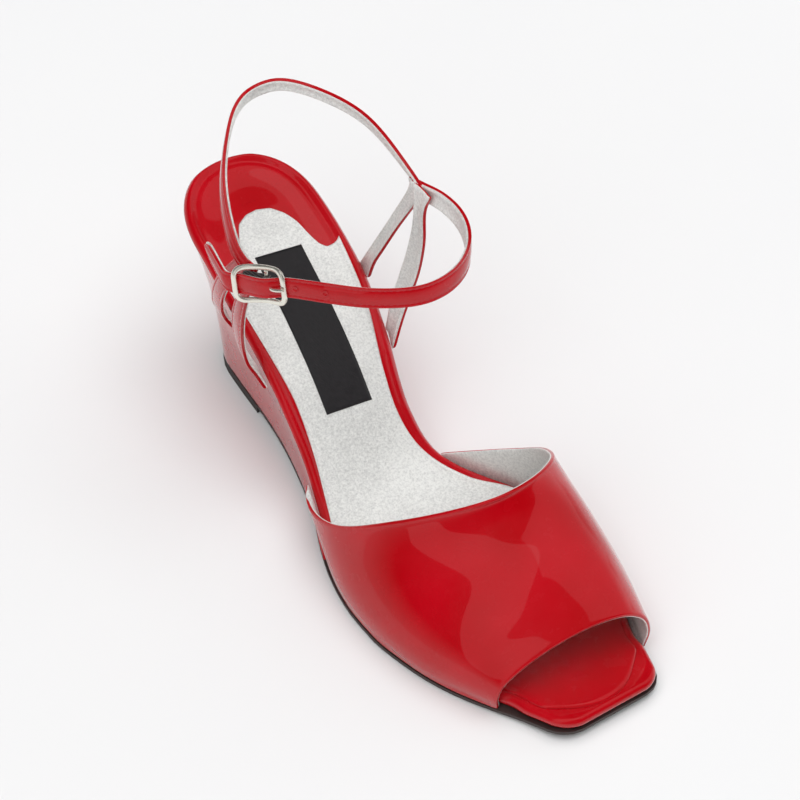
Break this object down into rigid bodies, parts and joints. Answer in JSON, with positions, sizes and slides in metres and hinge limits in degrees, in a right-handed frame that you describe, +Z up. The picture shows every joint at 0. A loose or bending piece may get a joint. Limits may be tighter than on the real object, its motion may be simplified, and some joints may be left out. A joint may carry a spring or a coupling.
{
  "type": "strap sandal",
  "caption": "Open-toe wedge sandal with a broad vamp, a strap round the heel and a buckled ankle strap; right shoe.",
  "frame": {"origin": "middle of the heel top piece's underside, on the floor", "axes": "toe along -Y, heel along +Y, the inner (medial) side of the foot along +X, +Z up"},
  "size_m": [0.0912, 0.2515, 0.1339],
  "materials": {
    "outsole_rubber": "dark brown, matt",
    "top_piece_rubber": "near black, matt",
    "red_patent": "high-gloss patent",
    "nickel": "polished nickel plate",
    "elastic": "ribbed dark grey weave",
    "silver_lining": "silver foil leather, softly grained",
    "black_label": "plain black woven label"
  },
  "bodies": {
    "root": {"outsole": "outsole_rubber", "heel_top_piece": "top_piece_rubber", "wedge_heel": "red_patent", "insole": "red_patent", "vamp": "red_patent", "strap_upper": "red_patent", "buckle_frame": "nickel", "buckle_prong": "nickel", "elastic_tab": "elastic"}
  },
  "joints": []
}
